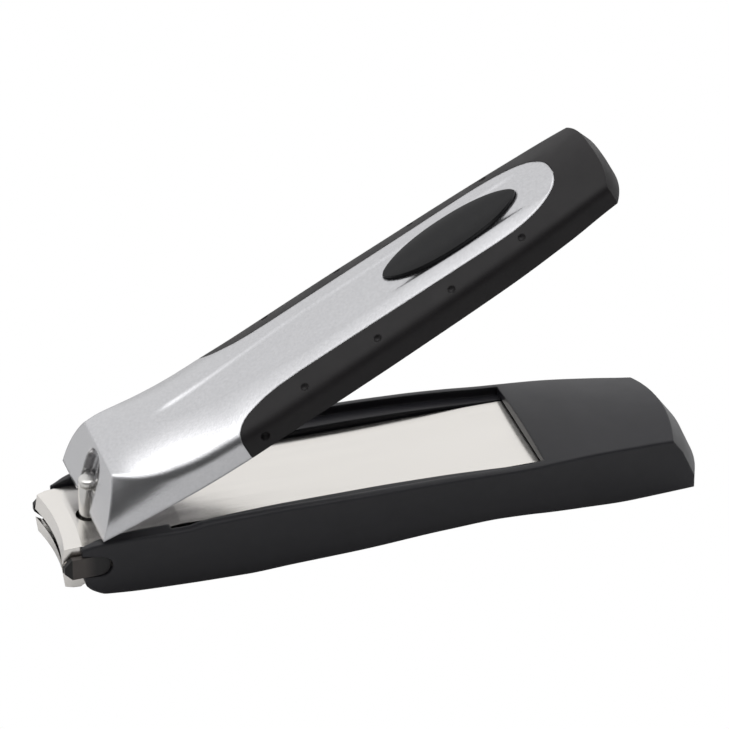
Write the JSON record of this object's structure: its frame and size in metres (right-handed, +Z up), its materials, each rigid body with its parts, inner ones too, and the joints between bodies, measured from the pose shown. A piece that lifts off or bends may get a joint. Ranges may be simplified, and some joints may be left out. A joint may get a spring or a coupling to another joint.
{
  "type": "nail clipper",
  "caption": "Lever nail clipper with hollow-edged jaws, a plastic catcher case around the blades, and a wide metal lever with a moulded grip.",
  "frame": {"origin": "on the table under the middle of the clipper's bounding box", "axes": "+X from the jaws to the rear of the case, +Z up, Y across the jaws"},
  "size_m": [0.0886, 0.0228, 0.0511],
  "materials": {
    "case_plastic": "semi-gloss moulded",
    "guard_plastic": "satin moulded",
    "blade_steel": "polished",
    "rivet_steel": "turned",
    "post_steel": "turned and polished",
    "lever_steel": "satin silver",
    "grip_plastic": "matte moulded",
    "badge_plastic": "gloss",
    "file_steel": "cross-cut file"
  },
  "bodies": {
    "case": {"case_shell": "case_plastic", "side_guard_left": "guard_plastic", "side_guard_right": "guard_plastic"},
    "lower_jaw": {"lower_blade": "blade_steel", "rear_rivet_left": "rivet_steel", "rear_rivet_right": "rivet_steel"},
    "upper_jaw": {"upper_blade": "blade_steel"},
    "post": {"pivot_post": "post_steel"},
    "lever": {"lever_body": "lever_steel", "lever_grip": "grip_plastic", "badge": "badge_plastic", "nail_file": "file_steel", "cross_pin": "post_steel"}
  },
  "joints": [
    {"name": "blade_slide", "type": "slide", "parent": "case", "child": "lower_jaw", "axis": [-1, 0, 0], "range_m": [0, 0.01]},
    {"name": "jaw_close", "type": "hinge", "parent": "lower_jaw", "child": "upper_jaw", "pos_m": [0.02175, 0, 0.0076], "axis": [0, -1, 0], "range_deg": [0, 0.96]},
    {"name": "lever_swivel", "type": "hinge", "parent": "lower_jaw", "child": "post", "pos_m": [-0.03875, 0, 0.008], "axis": [0, 0, 1], "continuous": true},
    {"name": "lever_press", "type": "hinge", "parent": "post", "child": "lever", "pos_m": [-0.03815, 0, 0.0123], "axis": [0, 1, 0], "range_deg": [0, 20], "stiffness_Nm_per_rad": 0.6}
  ],
  "couplings": [
    {"joint": "jaw_close", "follows": "lever_press", "ratio": 0.0475}
  ]
}
